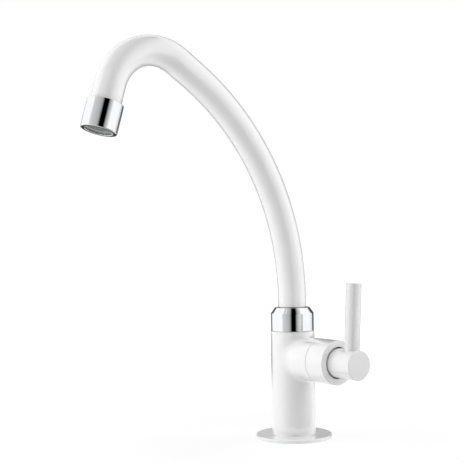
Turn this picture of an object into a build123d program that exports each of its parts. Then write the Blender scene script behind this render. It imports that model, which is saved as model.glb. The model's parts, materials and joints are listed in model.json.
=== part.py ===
from build123d import *
import os
from math import sqrt

# Deck-mounted kitchen tap with a swivelling spout and one side lever.
# Origin: centre of the base flange's underside, on the deck.
# +Z up, the spout points to -Y (the front), the valve and its lever point to +X.
# Sizes are millimetres.

# Clearances
thread_clearance = 0.05      # radial, male thread in female thread
running_clearance = 0.05     # radial, a turning shaft in its bore
face_gap = 0.05              # between flat faces that are pressed together
seal_gap = 0.03              # radial, an O-ring in the bore that it seals

# Pipe thread of the shank and of the valve's headwork: G1/2
pipe_thread_radius = 10.478
pipe_thread_pitch = 1.814
pipe_thread_depth = 1.162

# Base flange and its gasket
flange_radius = 27.75
flange_thickness = 2.4
flange_rim_round = 1.2
flange_bore_gap = 0.5        # radial, round the shank
gasket_width = 4.8
gasket_thickness = 1.25
gasket_rim = 3.7             # flange left outside the gasket's groove
gasket_side_gap = 0.1

# Body casting: the column
foot_spigot_depth = 1.2      # how far the column's foot sinks into the flange
foot_spigot_wall = 2.5
foot_flare = 0.9             # concave round at the column's foot
column_shoulder = 2.0        # the ledge that the collar stands on
collar_spigot_height = 7.8
collar_spigot_wall = 2.5
column_above_boss = 3.7

# Body casting: the side boss, along X
valve_height = 57.9          # boss axis above the deck
boss_end = 31.8              # from the column's axis to the seam
boss_spigot_length = 6.2
boss_spigot_wall = 2.47
boss_draft = 2.2             # how much thinner the boss is where it leaves the column
boss_draft_length = 18.0
boss_blend = 2.0             # round between the boss and the column

# Body casting: the water's way
shank_engagement = 14.0
riser_radius = 4.2
riser_offset = 5.0           # behind the column's axis, away from the boss
seat_port_radius = 3.8
seat_distance = 4.0          # from the column's axis to the valve seat
outlet_duct_radius = 2.8
outlet_duct_offset = 7.4
socket_floor_wall = 2.1      # metal between the valve chamber and the spout's socket
socket_water_gap = 2.0       # under the spout's foot

# Threaded shank below the deck, with what clamps the deck
shank_bore_radius = 7.5
shank_seal_thickness = 1.2
deck_least = 3.0             # thinnest deck that the nut can clamp
deck_most = 33.0             # thickest deck
rubber_washer_thickness = 3.0
clamp_washer_thickness = 1.6
clamp_washer_radius = 21.0
washer_bore_gap = 0.5        # radial, round the shank
nut_height = 8.0
nut_across_flats = 30.0
nut_corner_bevel = 0.8
shank_thread_margin = 1.0    # thread left below the nut at the thickest deck
relief_length = 2.4
relief_depth = 1.3
tail_thread_length = 12.0
tail_lead_in = 1.2

# Spout
tube_radius = 10.2
tube_wall = 1.2
tube_stub = 5.4              # straight part above the collar
rise_radius = 187.5
rise_angle = 56.7
run_length = 15.6
bend_radius = 34.3
bend_angle = 106.9
drop_length = 12.4           # straight part before the aerator ring
socket_gap = 0.3             # how much wider the socket is than the tube
foot_flange_width = 1.8      # beyond the socket's radius
foot_flange_thickness = 2.0
foot_bore_radius = 7.3
foot_plug_length = 9.0       # the foot's part inside the tube
braze_gap = 0.03             # radial, between brazed parts
foot_groove_depth = 1.7
foot_groove_width = 2.2
foot_groove_pitch = 5.0
foot_groove_first = 3.0      # first groove's centre above the foot's lower end

# Collar that holds the spout, and its two glide washers
glide_washer_thickness = 1.0
collar_overhang = 0.6        # beyond the column
collar_height = 17.0
collar_chamfer_height = 4.1
collar_chamfer_width = 3.0
collar_tube_gap = 0.4        # radial, between the lip and the tube
collar_edge_round = 0.3

# Outlet: nipple, aerator ring and what the ring holds
nipple_wall = 0.8
nipple_length = 8.5
nipple_setback = 0.4         # the nipple's top, below the ring's top edge
ring_wall = 0.95
ring_length = 19.3
ring_edge_round = 0.4
ring_shoulder_depth = 10.2   # from the ring's top to the step under its thread
ring_lip_length = 1.5
ring_lip_width = 1.0
aerator_gasket_width = 3.0
insert_clearance = 0.05
cage_wall = 1.05
diffuser_thickness = 1.6
diffuser_depth = 0.5         # below the cage's top
diffuser_hole_radius = 0.6
diffuser_rows = ((0.0, 1), (3.2, 6), (6.4, 12))   # circle radius, hole count
screen_thickness = 0.35
screen_depths = (3.6, 4.6, 6.2)                   # below the cage's top
screen_hole = 0.8
screen_pitch = 1.35

# Valve headwork: quarter-turn, with two ceramic discs
seat_seal_length = 3.4
seat_seal_bore_radius = 4.6
cage_seat_gap = 1.0
chamber_radius = 7.6
cage_radius = 8.9
disc_radius = 7.5
disc_thickness = 3.5
moving_disc_clearance = 0.15
moving_disc_thickness = 3.0
disc_port_radius = 2.3
disc_port_offset = 4.3
drive_slot_depth = 1.2
drive_lug_width = 3.2
drive_lug_depth = 1.0
drive_height = 4.9
window_width = 6.0
window_length = 5.0
headwork_thread_length = 15.9
headwork_seal_thickness = 1.0
hex_across_flats = 21.4
hex_thickness = 3.4
neck_radius = 7.0
neck_length = 2.5

# Spindle
spindle_radius = 4.5
spindle_groove_depth = 1.4
spindle_groove_width = 1.9
spindle_groove_pitch = 4.6
spindle_groove_setback = 9.0    # first groove's centre behind the neck's end
spindle_washer_thickness = 0.6
circlip_thickness = 1.0
circlip_depth = 0.9
circlip_radius = 6.2
circlip_mouth = 60.0         # opening of the circlip, in degrees
spline_radius = 4.0
spline_depth = 0.45
spline_teeth = 20

# Sleeve over the headwork, and the lever
sleeve_wall = 2.55
sleeve_length = 17.0
sleeve_seam = 0.15           # hairline between the boss and the sleeve
sleeve_lip_length = 3.6
sleeve_edge_round = 0.35
hub_radius = 10.3
hub_mouth_gap = 0.7          # radial, between the hub and the sleeve's mouth
hub_projection = 20.9        # beyond the sleeve
hub_edge_round = 0.5
hub_start_gap = 0.5          # behind the hub, to the circlip
hub_web = 2.2                # metal between the spindle's bore and the rod's thread
rod_radius = 5.3
rod_from_hub_end = 7.85
rod_top = 55.3               # rod's top above the valve axis
rod_lean = 3.55              # degrees backwards, with the valve closed
rod_edge_round = 0.4
rod_pocket_depth = 8.2       # flat floor of the rod's pocket above the valve axis
rod_stud_radius = 3.0
rod_stud_length = 10.0
grub_screw_radius = 2.0
grub_screw_length = 4.2
grub_socket_across_flats = 2.0
grub_socket_depth = 1.8
grub_from_sleeve = 3.4

# Heights along the column
shank_clear_radius = pipe_thread_radius + flange_bore_gap
tapped_radius = pipe_thread_radius + thread_clearance
foot_spigot_radius = tapped_radius + foot_spigot_wall
foot_low = flange_thickness - foot_spigot_depth
shank_bore_top = flange_thickness + shank_engagement
shank_top = shank_bore_top - shank_seal_thickness - 2 * face_gap

socket_radius = tube_radius + socket_gap
collar_spigot_radius = socket_radius + collar_spigot_wall
column_radius = collar_spigot_radius + column_shoulder
boss_spigot_radius = tapped_radius + boss_spigot_wall
sleeve_inner_radius = boss_spigot_radius + thread_clearance
boss_radius = sleeve_inner_radius + sleeve_wall
column_top = valve_height + boss_radius + column_above_boss
socket_floor = valve_height + tapped_radius + socket_floor_wall
spigot_top = column_top + collar_spigot_height

lower_washer_low = spigot_top + face_gap
foot_flange_low = lower_washer_low + glide_washer_thickness + face_gap
foot_flange_high = foot_flange_low + foot_flange_thickness
upper_washer_low = foot_flange_high + face_gap
collar_lip_low = upper_washer_low + glide_washer_thickness + face_gap
collar_low = column_top + face_gap
collar_top = column_top + collar_height
collar_radius = column_radius + collar_overhang
collar_bore_radius = collar_spigot_radius + thread_clearance

# Distances along the valve's axis
seal_low = seat_distance + face_gap
fixed_disc_low = seal_low + seat_seal_length + face_gap
moving_disc_low = fixed_disc_low + disc_thickness + face_gap
drive_low = moving_disc_low + moving_disc_thickness - drive_lug_depth
drive_high = drive_low + drive_height
chamber_high = drive_high + 2 * face_gap
boss_spigot_end = boss_end + boss_spigot_length
headwork_seal_low = boss_spigot_end + face_gap
hex_low = headwork_seal_low + headwork_seal_thickness + face_gap
hex_high = hex_low + hex_thickness
neck_end = hex_high + neck_length
spindle_washer_low = neck_end + face_gap
circlip_low = spindle_washer_low + spindle_washer_thickness + face_gap
circlip_high = circlip_low + circlip_thickness
hub_start = circlip_high + hub_start_gap
sleeve_end = boss_end + sleeve_length
hub_end = sleeve_end + hub_projection
rod_distance = hub_end - rod_from_hub_end
hub_bore_end = rod_distance - rod_stud_radius - thread_clearance - hub_web
spindle_end = hub_bore_end - 2 * running_clearance
grub_distance = sleeve_end + grub_from_sleeve

# Outlet sizes
nipple_bore_radius = tube_radius + braze_gap
nipple_radius = nipple_bore_radius + nipple_wall
ring_thread_radius = nipple_radius + thread_clearance
ring_radius = ring_thread_radius + ring_wall
insert_radius = ring_thread_radius - cage_wall * 0.7
ring_chamber_radius = insert_radius + insert_clearance
cage_inner_radius = insert_radius - cage_wall

BASE = (Align.CENTER, Align.CENTER, Align.MIN)
VALVE = Pos(0, 0, valve_height) * Rot(0, 90, 0)
LEVER = VALVE * Rot(0, 0, -rod_lean)


def rod(radius, low, high):
    """Cylinder on Z from height low to height high."""
    return Pos(0, 0, low) * Cylinder(radius, high - low, align=BASE)


def ring(outer, inner, low, high):
    """Flat ring on Z."""
    return rod(outer, low, high) - rod(inner, low, high)


def turned(*corners):
    """Body of revolution on Z from the (radius, height) corners of its section."""
    outline = Polyline(*[(radius, 0, height) for radius, height in corners], close=True)
    return revolve(make_face(outline), Axis.Z)


def circles_at(solid, height, radius):
    """Circular edges of this radius at this height."""
    def found(edge):
        centre = edge.arc_center
        on_axis = abs(centre.X) < 0.01 and abs(centre.Y) < 0.01
        return on_axis and abs(centre.Z - height) < 0.01 and abs(edge.radius - radius) < 0.01
    return solid.edges().filter_by(GeomType.CIRCLE).filter_by(found)


def hexagon(across_flats, low, high):
    """Hexagonal prism on Z."""
    section = RegularPolygon(across_flats / 2, 6, major_radius=False)
    return Pos(0, 0, low) * extrude(section, high - low)


def o_ring(inner, outer, height):
    """O-ring on Z that fills the space from radius inner to radius outer."""
    section = (outer - inner) / 2
    return Pos(0, 0, height) * Torus((outer + inner) / 2, section)


def body_casting():
    column = rod(column_radius, flange_thickness, column_top)
    column += rod(foot_spigot_radius, foot_low, flange_thickness)
    column += rod(collar_spigot_radius, column_top, spigot_top)
    boss = VALVE * turned((0, 0), (boss_radius - boss_draft, 0), (boss_radius, boss_draft_length),
                          (boss_radius, boss_end), (0, boss_end))
    outside = column + boss
    seams = [edge for edge in outside.edges()
             if edge.geom_type not in (GeomType.CIRCLE, GeomType.LINE)]
    outside = fillet(seams, boss_blend)
    outside += foot_ring()
    outside += VALVE * rod(boss_spigot_radius, boss_end, boss_spigot_end)
    shank_bore = rod(tapped_radius, foot_low, shank_bore_top)
    riser = Pos(-riser_offset, 0, 0) * rod(riser_radius, shank_bore_top, valve_height)
    port = VALVE * rod(seat_port_radius, -riser_offset, seat_distance)
    chamber = VALVE * rod(tapped_radius, seat_distance, boss_spigot_end)
    duct = Pos(outlet_duct_offset, 0, 0) * rod(outlet_duct_radius, valve_height, socket_floor)
    socket = rod(socket_radius, socket_floor, spigot_top)
    return outside - shank_bore - riser - port - chamber - duct - socket


def foot_ring():
    """Concave round at the column's foot, as a ring whose section is a square less a disc."""
    block = ring(column_radius + foot_flare, column_radius - foot_flare,
                 flange_thickness, flange_thickness + foot_flare)
    scoop = Pos(0, 0, flange_thickness + foot_flare) * Torus(column_radius + foot_flare, foot_flare)
    return block - scoop


def base_flange():
    disc = rod(flange_radius, 0, flange_thickness)
    disc = fillet(circles_at(disc, flange_thickness, flange_radius), flange_rim_round)
    disc -= rod(shank_clear_radius, 0, flange_thickness)
    disc -= rod(foot_spigot_radius + thread_clearance, foot_low - face_gap, flange_thickness)
    groove_outer = flange_radius - gasket_rim
    groove = ring(groove_outer, groove_outer - gasket_width, 0, gasket_thickness + face_gap)
    return disc - groove


def base_gasket():
    outer = flange_radius - gasket_rim - gasket_side_gap
    inner = flange_radius - gasket_rim - gasket_width + gasket_side_gap
    return ring(outer, inner, 0, gasket_thickness)


def thread_rings(low, high):
    """Corners of a male pipe thread's section from height low to height high. Its turns are
    rings at the thread's pitch, with 55 degree flanks between flat crests and roots."""
    root = pipe_thread_radius - pipe_thread_depth
    flat = pipe_thread_pitch / 6
    flank = pipe_thread_pitch / 2 - flat
    turns = int((high - low - flat) / pipe_thread_pitch)
    corners = [(pipe_thread_radius, low)]
    for turn in range(turns):
        start = low + flat + turn * pipe_thread_pitch
        corners += [
            (pipe_thread_radius, start), (root, start + flank),
            (root, start + flank + flat), (pipe_thread_radius, start + 2 * flank + flat)]
    return corners + [(pipe_thread_radius, high)]


def threaded_shank():
    """Tube with the nut's thread, a relief groove and a tail. The tail is plain, as wide as
    the crests of the hose's thread."""
    clamp_stack = rubber_washer_thickness + clamp_washer_thickness + nut_height
    relief_high = -(deck_most + clamp_stack + shank_thread_margin)
    relief_low = relief_high - relief_length
    tail_low = relief_low - tail_thread_length
    end = tail_low - tail_lead_in
    root_radius = pipe_thread_radius - relief_depth
    return turned(
        (shank_bore_radius, end), (pipe_thread_radius - tail_lead_in, end),
        (pipe_thread_radius, tail_low), (pipe_thread_radius, relief_low),
        (root_radius, relief_low), (root_radius, relief_high),
        *thread_rings(relief_high, shank_top), (shank_bore_radius, shank_top))


def shank_seal():
    low = shank_top + face_gap
    return ring(pipe_thread_radius, shank_bore_radius, low, low + shank_seal_thickness)


def rubber_washer():
    low = -deck_least - rubber_washer_thickness
    return ring(clamp_washer_radius, pipe_thread_radius + washer_bore_gap, low, -deck_least)


def clamp_washer():
    high = -deck_least - rubber_washer_thickness
    low = high - clamp_washer_thickness
    return ring(clamp_washer_radius, pipe_thread_radius + washer_bore_gap, low, high)


def fixing_nut():
    high = -deck_least - rubber_washer_thickness - clamp_washer_thickness
    low = high - nut_height
    corner = nut_across_flats / sqrt(3)
    bevelled = turned((0, low), (corner - nut_corner_bevel, low), (corner, low + nut_corner_bevel / 2),
                      (corner, high - nut_corner_bevel / 2), (corner - nut_corner_bevel, high), (0, high))
    return (hexagon(nut_across_flats, low, high) & bevelled) - rod(tapped_radius, low, high)


def spout_collar():
    chamfer_low = collar_top - collar_chamfer_height
    shell = turned(
        (collar_bore_radius, collar_low), (collar_radius, collar_low),
        (collar_radius, chamfer_low), (collar_radius - collar_chamfer_width, collar_top),
        (tube_radius + collar_tube_gap, collar_top), (tube_radius + collar_tube_gap, collar_lip_low),
        (collar_bore_radius, collar_lip_low))
    edges = circles_at(shell, collar_top, collar_radius - collar_chamfer_width)
    return fillet(edges + circles_at(shell, collar_low, collar_radius), collar_edge_round)


def lower_glide_washer():
    return ring(socket_radius + foot_flange_width, socket_radius + running_clearance,
                lower_washer_low, lower_washer_low + glide_washer_thickness)


def upper_glide_washer():
    return ring(socket_radius + foot_flange_width, tube_radius + collar_tube_gap,
                upper_washer_low, upper_washer_low + glide_washer_thickness)


def foot_groove_heights():
    foot_start = socket_floor + socket_water_gap
    return [foot_start + foot_groove_first + row * foot_groove_pitch for row in range(2)]


def spout_foot():
    foot_start = socket_floor + socket_water_gap
    barrel_radius = socket_radius - running_clearance
    foot = rod(barrel_radius, foot_start, foot_flange_low)
    foot += rod(socket_radius + foot_flange_width, foot_flange_low, foot_flange_high)
    foot += rod(tube_radius - tube_wall - braze_gap, foot_flange_high, foot_flange_high + foot_plug_length)
    for height in foot_groove_heights():
        foot -= ring(socket_radius + 1, barrel_radius - foot_groove_depth,
                     height - foot_groove_width / 2, height + foot_groove_width / 2)
    return foot - rod(foot_bore_radius, foot_start, foot_flange_high + foot_plug_length)


def foot_o_rings():
    inner = socket_radius - running_clearance - foot_groove_depth + seal_gap
    rings = [o_ring(inner, socket_radius - seal_gap, height) for height in foot_groove_heights()]
    return rings[0] + rings[1]


def spout_lines():
    """The tube's centre line: its runs and arcs in the plane of (forward, up)."""
    stub = Line((0, foot_flange_high), (0, collar_top + tube_stub))
    rise = JernArc(stub @ 1, stub % 1, rise_radius, -rise_angle)
    run = PolarLine(rise @ 1, run_length, direction=rise % 1)
    bend = JernArc(run @ 1, run % 1, bend_radius, -bend_angle)
    drop = PolarLine(bend @ 1, drop_length, direction=bend % 1)
    return stub, rise, run, bend, drop


SIDE = Plane(origin=(0, 0, 0), x_dir=(0, -1, 0), z_dir=(-1, 0, 0))
CENTRE_LINE = spout_lines()
outlet_point = SIDE.from_local_coords(CENTRE_LINE[-1] @ 1)
outlet_aim = SIDE.from_local_coords((CENTRE_LINE[-1] @ 1) + (CENTRE_LINE[-1] % 1)) - outlet_point
OUTLET = Plane(origin=outlet_point, x_dir=(1, 0, 0), z_dir=outlet_aim)


def spout_tube():
    stub, rise, run, bend, drop = CENTRE_LINE
    tail = PolarLine(drop @ 1, nipple_length, direction=drop % 1)
    path = SIDE * (stub + rise + run + bend + drop + tail)
    section = Pos(0, 0, foot_flange_high) * (Circle(tube_radius) - Circle(tube_radius - tube_wall))
    return sweep(section, path=path)


def outlet_nipple():
    return OUTLET * ring(nipple_radius, nipple_bore_radius, nipple_setback, nipple_length)


def aerator_ring():
    lip_low = ring_length - ring_lip_length
    shell = turned(
        (ring_thread_radius, 0), (ring_radius, 0), (ring_radius, ring_length),
        (ring_chamber_radius - ring_lip_width, ring_length), (ring_chamber_radius - ring_lip_width, lip_low),
        (ring_chamber_radius, lip_low), (ring_chamber_radius, ring_shoulder_depth),
        (ring_thread_radius, ring_shoulder_depth))
    ends = circles_at(shell, 0, ring_radius) + circles_at(shell, ring_length, ring_radius)
    return OUTLET * fillet(ends, ring_edge_round)


def aerator_gasket():
    inner = nipple_radius - aerator_gasket_width
    return OUTLET * ring(nipple_radius, inner, nipple_length + face_gap, ring_shoulder_depth - face_gap)


def aerator_cage():
    low = ring_length - ring_lip_length - face_gap
    return OUTLET * ring(insert_radius, cage_inner_radius, ring_shoulder_depth, low)


def flow_diffuser():
    top = ring_shoulder_depth + diffuser_depth
    plate = rod(cage_inner_radius - insert_clearance, top, top + diffuser_thickness)
    for circle_radius, count in diffuser_rows:
        for index in range(count):
            hole = Pos(circle_radius, 0, 0) * rod(diffuser_hole_radius, top, top + diffuser_thickness)
            plate -= Rot(0, 0, index * 360 / count) * hole
    return OUTLET * plate


def aerator_screens():
    """Three woven screens, each a thin disc with a square grid of square holes."""
    screen_radius = cage_inner_radius - insert_clearance
    reach = int(screen_radius / screen_pitch)
    steps = range(-reach, reach + 1)
    section = Circle(screen_radius)
    for column in steps:
        for row in steps:
            x, y = column * screen_pitch, row * screen_pitch
            if sqrt(x * x + y * y) + screen_hole < screen_radius:
                section -= Pos(x, y) * Rectangle(screen_hole, screen_hole)
    screen = extrude(section, screen_thickness)
    screens = [Pos(0, 0, ring_shoulder_depth + depth) * screen for depth in screen_depths]
    return OUTLET * Compound(children=screens)


def boss_sleeve():
    mouth_radius = hub_radius + hub_mouth_gap
    lip_low = sleeve_end - sleeve_lip_length
    start = boss_end + sleeve_seam
    shell = turned((sleeve_inner_radius, start), (boss_radius, start), (boss_radius, sleeve_end),
                   (mouth_radius, sleeve_end), (mouth_radius, lip_low), (sleeve_inner_radius, lip_low))
    return VALVE * fillet(circles_at(shell, sleeve_end, boss_radius), sleeve_edge_round)


def headwork_body():
    thread_low = boss_spigot_end - headwork_thread_length
    cage_low = seat_distance + cage_seat_gap
    body = rod(cage_radius, cage_low, thread_low)
    body += rod(pipe_thread_radius, thread_low, headwork_seal_low)
    body += rod(pipe_thread_radius - headwork_seal_thickness / 2, headwork_seal_low, hex_low)
    body += hexagon(hex_across_flats, hex_low, hex_high)
    body += rod(neck_radius, hex_high, neck_end)
    body -= rod(chamber_radius, cage_low, chamber_high)
    body -= rod(spindle_radius + running_clearance, chamber_high, neck_end)
    window_middle = (moving_disc_low + drive_high) / 2
    body -= Pos(0, 0, window_middle) * Box(3 * cage_radius, window_width, window_length)
    return VALVE * body


def headwork_seal():
    inner = pipe_thread_radius - headwork_seal_thickness / 2 + seal_gap
    outer = boss_spigot_radius - flange_bore_gap
    return VALVE * ring(outer, inner, headwork_seal_low, headwork_seal_low + headwork_seal_thickness)


def seat_seal():
    return VALVE * ring(disc_radius, seat_seal_bore_radius, seal_low, seal_low + seat_seal_length)


def ported_disc(radius, low, high):
    """Ceramic disc with two round ports, on the Y axis of its own frame."""
    disc = rod(radius, low, high)
    for side in (-1, 1):
        disc -= Pos(0, side * disc_port_offset, 0) * rod(disc_port_radius, low, high)
    return disc


def fixed_disc():
    return VALVE * ported_disc(disc_radius, fixed_disc_low, fixed_disc_low + disc_thickness)


def moving_disc():
    """The closed valve has this disc's ports a quarter turn from the fixed disc's."""
    high = moving_disc_low + moving_disc_thickness
    disc = ported_disc(disc_radius - moving_disc_clearance, moving_disc_low, high)
    slot = Pos(0, 0, high) * Box(3 * disc_radius, drive_lug_width + 2 * face_gap, 2 * drive_slot_depth)
    return LEVER * Rot(0, 0, 90) * (disc - slot)


def spindle_groove_places():
    return [neck_end - spindle_groove_setback + row * spindle_groove_pitch for row in range(2)]


def spindle():
    head = Pos(0, 0, drive_low) * Box(2 * disc_radius, drive_lug_width, drive_height, align=BASE)
    head &= rod(disc_radius - moving_disc_clearance, drive_low, drive_high)
    shaft = rod(spindle_radius, drive_high, hub_start - hub_start_gap / 2)
    for place in spindle_groove_places():
        shaft -= ring(spindle_radius + 1, spindle_radius - spindle_groove_depth,
                      place - spindle_groove_width / 2, place + spindle_groove_width / 2)
    shaft -= ring(spindle_radius + 1, spindle_radius - circlip_depth,
                  circlip_low - face_gap, circlip_high + face_gap)
    points = []
    for tooth in range(2 * spline_teeth):
        radius = spline_radius - spline_depth * (tooth % 2)
        points.append(Vector(radius, 0).rotate(Axis.Z, tooth * 180 / spline_teeth))
    spline = make_face(Polyline(*points, close=True))
    spline_low = hub_start - hub_start_gap / 2
    shaft += Pos(0, 0, spline_low) * extrude(spline, spindle_end - spline_low)
    return LEVER * Rot(0, 0, 90) * (head + shaft)


def spindle_o_rings():
    inner = spindle_radius - spindle_groove_depth + seal_gap
    rings = [o_ring(inner, spindle_radius + running_clearance - seal_gap, place)
             for place in spindle_groove_places()]
    return LEVER * (rings[0] + rings[1])


def spindle_washer():
    return LEVER * ring(neck_radius, spindle_radius + running_clearance,
                        spindle_washer_low, spindle_washer_low + spindle_washer_thickness)


def spindle_circlip():
    inner = spindle_radius - circlip_depth + seal_gap
    clip = ring(circlip_radius, inner, circlip_low, circlip_high)
    half_mouth = circlip_mouth / 2
    reach = 2 * circlip_radius
    corners = [Vector(reach, 0).rotate(Axis.Z, angle) for angle in (-half_mouth, half_mouth)]
    mouth = make_face(Polyline((0, 0), corners[0], corners[1], close=True))
    return LEVER * (clip - Pos(0, 0, circlip_low) * extrude(mouth, circlip_thickness))


# Across the hub: local Z points up along the rod, from the valve's axis
ROD = LEVER * Pos(0, 0, rod_distance) * Rot(0, -90, 0)
GRUB = LEVER * Pos(0, 0, grub_distance) * Rot(0, 90, 0)


def handle_hub():
    hub = rod(hub_radius, hub_start, hub_end)
    hub = fillet(circles_at(hub, hub_end, hub_radius), hub_edge_round)
    hub = LEVER * (hub - rod(spline_radius + running_clearance, hub_start, hub_bore_end))
    stud_low = rod_pocket_depth + face_gap - rod_stud_length
    hub -= ROD * rod(rod_radius + thread_clearance, rod_pocket_depth, 2 * hub_radius)
    hub -= ROD * rod(rod_stud_radius + thread_clearance, stud_low - hub_start_gap, rod_pocket_depth)
    return hub - GRUB * rod(grub_screw_radius + thread_clearance, 0, 2 * hub_radius)


def lever_rod():
    bottom = rod_pocket_depth + face_gap
    bar = rod(rod_radius, bottom, rod_top)
    bar = fillet(circles_at(bar, rod_top, rod_radius), rod_edge_round)
    return ROD * (bar + rod(rod_stud_radius, bottom - rod_stud_length, bottom))


def grub_screw():
    start = spline_radius + running_clearance
    end = start + grub_screw_length
    screw = rod(grub_screw_radius, start, end)
    return GRUB * (screw - hexagon(grub_socket_across_flats, end - grub_socket_depth, end))


PIECES = (
    body_casting, base_flange, base_gasket, threaded_shank, shank_seal,
    rubber_washer, clamp_washer, fixing_nut,
    spout_collar, lower_glide_washer, upper_glide_washer,
    spout_foot, foot_o_rings, spout_tube, outlet_nipple,
    aerator_ring, aerator_gasket, aerator_cage, flow_diffuser, aerator_screens,
    boss_sleeve, headwork_body, headwork_seal, seat_seal, fixed_disc,
    moving_disc, spindle, spindle_o_rings, spindle_washer, spindle_circlip,
    handle_hub, lever_rod, grub_screw,
)

os.makedirs("parts", exist_ok=True)
for piece in PIECES:
    export_step(piece(), f"parts/{piece.__name__}.step")
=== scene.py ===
"""Looks of the kitchen tap: surfaces, finishes, studio and camera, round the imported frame."""
import json
from math import atan2, cos, pi, radians, sin

import bmesh
import bpy
import numpy as np
from mathutils import Matrix, Vector


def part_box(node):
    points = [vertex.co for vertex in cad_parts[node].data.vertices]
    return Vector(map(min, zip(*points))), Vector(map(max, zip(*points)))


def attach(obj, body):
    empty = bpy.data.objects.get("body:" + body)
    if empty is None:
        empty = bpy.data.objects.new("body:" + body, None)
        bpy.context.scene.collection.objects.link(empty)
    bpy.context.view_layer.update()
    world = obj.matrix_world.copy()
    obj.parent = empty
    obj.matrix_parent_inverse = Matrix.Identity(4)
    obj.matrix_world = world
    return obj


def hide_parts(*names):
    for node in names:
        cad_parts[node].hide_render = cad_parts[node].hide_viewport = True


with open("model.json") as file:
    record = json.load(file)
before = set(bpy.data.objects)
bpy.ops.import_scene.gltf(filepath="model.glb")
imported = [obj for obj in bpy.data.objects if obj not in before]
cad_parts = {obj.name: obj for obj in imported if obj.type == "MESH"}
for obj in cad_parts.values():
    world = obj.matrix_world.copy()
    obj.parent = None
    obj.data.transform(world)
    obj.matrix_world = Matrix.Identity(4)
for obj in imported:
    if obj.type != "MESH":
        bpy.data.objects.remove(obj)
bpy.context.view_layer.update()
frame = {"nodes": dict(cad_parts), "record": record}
MM = 0.001

# Sizes taken from the frame
flange_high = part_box("base_flange")[1]
casting_low, casting_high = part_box("body_casting")
collar_low, collar_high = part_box("spout_collar")
sleeve_low, sleeve_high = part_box("boss_sleeve")
hub_low, hub_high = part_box("handle_hub")
shank_low, shank_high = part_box("threaded_shank")
nut_low, nut_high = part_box("fixing_nut")
tube_low, tube_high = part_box("spout_tube")
rod_low, rod_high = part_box("lever_rod")

flange_radius = flange_high.x
flange_thickness = flange_high.z
column_radius = -casting_low.x
collar_radius = collar_high.x
boss_radius = sleeve_high.y
valve_height = (sleeve_low.z + sleeve_high.z) / 2
hub_radius = hub_high.y
tube_radius = tube_high.x
rod_radius = (rod_high.x - rod_low.x) / 2
rod_distance = (rod_high.x + rod_low.x) / 2
thread_radius = shank_high.x

# Sizes that the frame's boxes don't show, as in the part
spigot_radius = 13.0 * MM
ring_nut_bore = 13.05 * MM
pipe_thread_bore = 10.528 * MM
shank_passage = 10.978 * MM
rod_lean = radians(3.55)
rod_reach = 55.3 * MM
tube_wall = 1.2 * MM
rise_radius, rise_angle = 187.5 * MM, radians(56.7)
run_length = 15.6 * MM
bend_radius, bend_angle = 34.3 * MM, radians(106.9)
drop_length = 12.4 * MM
tube_stub = 5.4 * MM
# Height of the thin dark line on the tube above the collar, which is painted shade
shade_line_height = 0.35 * MM
nipple_length = 8.5 * MM
ring_radius = 12.03 * MM
ring_length = 19.3 * MM

AXIS_Z = (Vector((1, 0, 0)), Vector((0, 1, 0)), Vector((0, 0, 1)))


# Shapes

def outline(corners, closed=True, steps=6, hold=0.15 * MM):
    """Section of a turned piece from (radius, height, round) corners. Each corner with a round becomes an
    arc tangent to both sides: the centre lies on the corner's bisector and the points turn evenly between
    the two tangent points. A point a hair outside each arc keeps the flats flat."""
    table = np.array([corner if len(corner) == 3 else (*corner, 0) for corner in corners], float)
    point, size = table[:, :2], table[:, 2:3]
    back, ahead = np.roll(point, 1, 0) - point, np.roll(point, -1, 0) - point
    back_length = np.linalg.norm(back, axis=1, keepdims=True)
    ahead_length = np.linalg.norm(ahead, axis=1, keepdims=True)
    back, ahead = back / back_length, ahead / ahead_length
    half = np.arccos(np.clip((back * ahead).sum(1, keepdims=True), -1, 1)) / 2
    setback = size / np.tan(half)
    start, end = point + back * setback, point + ahead * setback
    bisector = back + ahead
    bisector /= np.maximum(np.linalg.norm(bisector, axis=1, keepdims=True), 1e-9)
    centre = point + bisector * size / np.sin(half)
    turn = pi - 2 * half
    share = np.linspace(0, 1, steps + 1)[None, :, None]
    whole = np.maximum(np.sin(turn), 1e-9)[:, None]
    arc = (np.sin((1 - share) * turn[:, None]) * (start - centre)[:, None]
           + np.sin(share * turn[:, None]) * (end - centre)[:, None]) / whole + centre[:, None]
    arc = np.where(size[:, None] > 0, arc, point[:, None])
    free = ahead_length - setback - np.roll(setback, -1, 0)
    before = start + back * np.minimum(hold, np.roll(free, 1, 0) / 3)
    after = end + ahead * np.minimum(hold, free / 3)
    rows = np.concatenate([before[:, None], arc, after[:, None]], 1).reshape(-1, 2)
    if not closed:
        rows = rows[1 + steps:-1 - steps]
    keep = np.ones(len(rows), bool)
    keep[1:] = np.linalg.norm(np.diff(rows, axis=0), axis=1) > 1e-8
    return rows[keep]


def full_turn(columns):
    """Evenly spaced angles of one turn."""
    return np.arange(columns) * 2 * pi / columns


def circles(radius, height, turn):
    """Points round Z at their radius, height and angle: x = r cos t, y = r sin t."""
    return np.stack(np.broadcast_arrays(radius * np.cos(turn), radius * np.sin(turn), height), -1)


def spin(section, columns=96):
    """Grid of a section's (radius, height) rows turned round Z."""
    return circles(section[:, :1], section[:, 1:], full_turn(columns))


def placed(grid, origin, axes=AXIS_Z):
    """The grid's local x, y, z laid along three directions from an origin."""
    return np.asarray(origin) + grid @ np.array([list(axis) for axis in axes])


def quads_of(grid, loop):
    """Vertex list and quads of a grid that closes on itself round its columns, and along its rows if
    loop."""
    rows, columns = grid.shape[:2]
    index = np.arange(rows * columns).reshape(rows, columns)
    index = np.vstack([index, index[:1]]) if loop else index
    index = np.hstack([index, index[:, :1]])
    faces = np.stack([index[:-1, :-1], index[:-1, 1:], index[1:, 1:], index[1:, :-1]], -1).reshape(-1, 4)
    return grid.reshape(-1, 3), faces


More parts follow.
